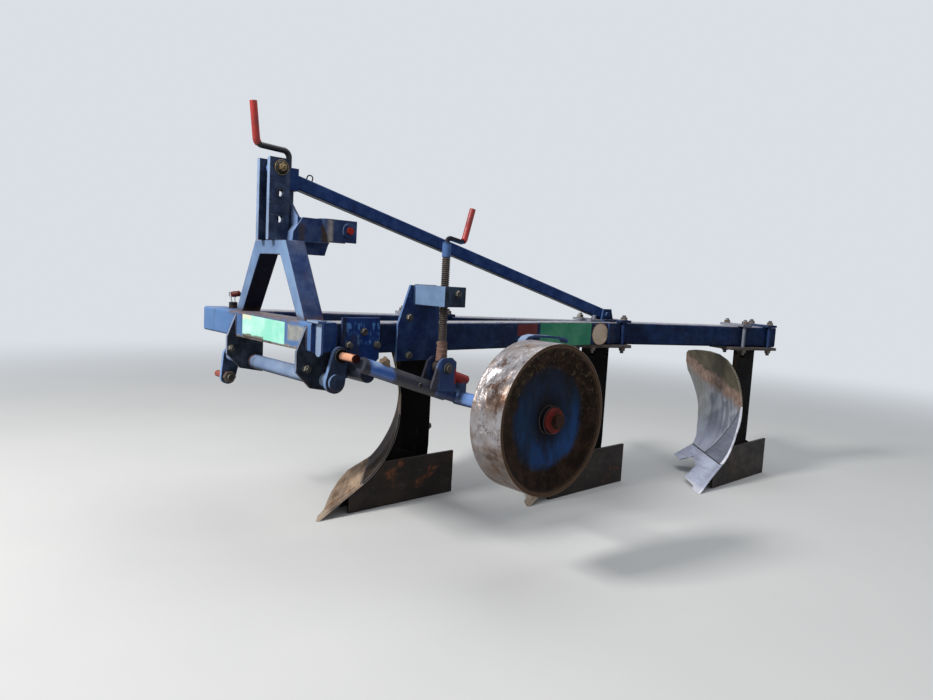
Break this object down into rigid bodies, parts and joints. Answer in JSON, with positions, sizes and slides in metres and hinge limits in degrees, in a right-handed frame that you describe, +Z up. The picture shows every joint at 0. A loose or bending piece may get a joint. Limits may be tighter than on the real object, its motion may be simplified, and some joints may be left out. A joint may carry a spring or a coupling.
{
  "type": "moldboard plough",
  "caption": "Mounted mouldboard plough: box-beam frame, hitch tower, cross shaft, depth wheel on a screw, and right-hand plough bodies.",
  "frame": {"origin": "centre of the footprint of the whole plough, on the ground under its shares", "axes": "+X is the direction of travel, +Y the plough's left (land) side, +Z up"},
  "size_m": [2.8077, 1.5155, 1.5775],
  "materials": {
    "blue_paint": "chipped semi-gloss blue paint, sun-faded on top",
    "dark_paint": "dark blue paint, dusty and worn",
    "black_paint": "satin black paint",
    "red_grip": "faded red plastic sleeve",
    "share_steel": "soil-polished steel, bright at the edges",
    "mouldboard_steel": "soil-polished steel below, rust and dry soil above",
    "landside_steel": "rusty worn steel",
    "screw_steel": "rusty thread",
    "wheel_steel": "blue disc, rusty and worn rim and tread",
    "pin_primer": "orange-red primer",
    "zinc_steel": "dull zinc-plated steel"
  },
  "bodies": {
    "frame": {"main_beam": "blue_paint", "long_beam": "blue_paint", "crossbeam": "blue_paint", "hitch_tower": "blue_paint", "headstock": "blue_paint", "strut": "blue_paint", "strut_block": "blue_paint", "strut_bolt": "zinc_steel", "strut_loop": "black_paint", "junction_bracket": "blue_paint", "junction_pin": "zinc_steel", "junction_cheek": "blue_paint", "link_box": "blue_paint", "link_pin": "pin_primer", "top_crank": "black_paint", "top_grip": "red_grip", "beam_socket": "blue_paint", "hanger_left": "dark_paint", "hanger_right": "dark_paint", "corner_strap": "blue_paint", "pivot_plate": "blue_paint", "screw_stand": "blue_paint", "nut_box": "blue_paint", "leg_1": "dark_paint", "landside_1": "landside_steel", "share_1": "share_steel", "shin_1": "share_steel", "mouldboard_1": "mouldboard_steel", "clamp_front_1": "blue_paint", "clamp_rear_1": "blue_paint", "leg_2": "dark_paint", "landside_2": "landside_steel", "share_2": "share_steel", "shin_2": "share_steel", "mouldboard_2": "mouldboard_steel", "clamp_front_2": "blue_paint", "clamp_rear_2": "blue_paint", "leg_3": "dark_paint", "landside_3": "landside_steel", "share_3": "share_steel", "shin_3": "share_steel", "mouldboard_3": "mouldboard_steel", "clamp_front_3": "blue_paint", "clamp_rear_3": "blue_paint"},
    "hitch_shaft": {"cross_shaft": "blue_paint", "crank_arm_left": "blue_paint", "crank_arm_right": "blue_paint", "hitch_pin_left": "pin_primer", "hitch_pin_right": "pin_primer"},
    "wheel_arm": {"wheel_arm": "blue_paint", "scraper": "blue_paint"},
    "wheel": {"depth_wheel": "wheel_steel", "wheel_hub": "zinc_steel"},
    "screw": {"depth_screw": "screw_steel", "screw_crank": "black_paint", "screw_grip": "red_grip"}
  },
  "joints": [
    {"name": "hitch_shaft_turn", "type": "hinge", "parent": "frame", "child": "hitch_shaft", "pos_m": [1.275, -0.245, 0.615], "axis": [0, 1, 0], "range_deg": [0, 20]},
    {"name": "wheel_arm_swing", "type": "hinge", "parent": "frame", "child": "wheel_arm", "pos_m": [1.2, 0.26, 0.65], "axis": [0, 1, 0], "range_deg": [-12, 2]},
    {"name": "wheel_spin", "type": "hinge", "parent": "wheel_arm", "child": "wheel", "pos_m": [0.805, 0.672, 0.545], "axis": [0, 1, 0], "continuous": true},
    {"name": "screw_slide", "type": "slide", "parent": "frame", "child": "screw", "axis": [0, 0, 1], "range_m": [-0.066, 0.011]}
  ],
  "couplings": [
    {"joint": "screw_slide", "follows": "wheel_arm_swing", "m_per_rad": 0.312}
  ]
}
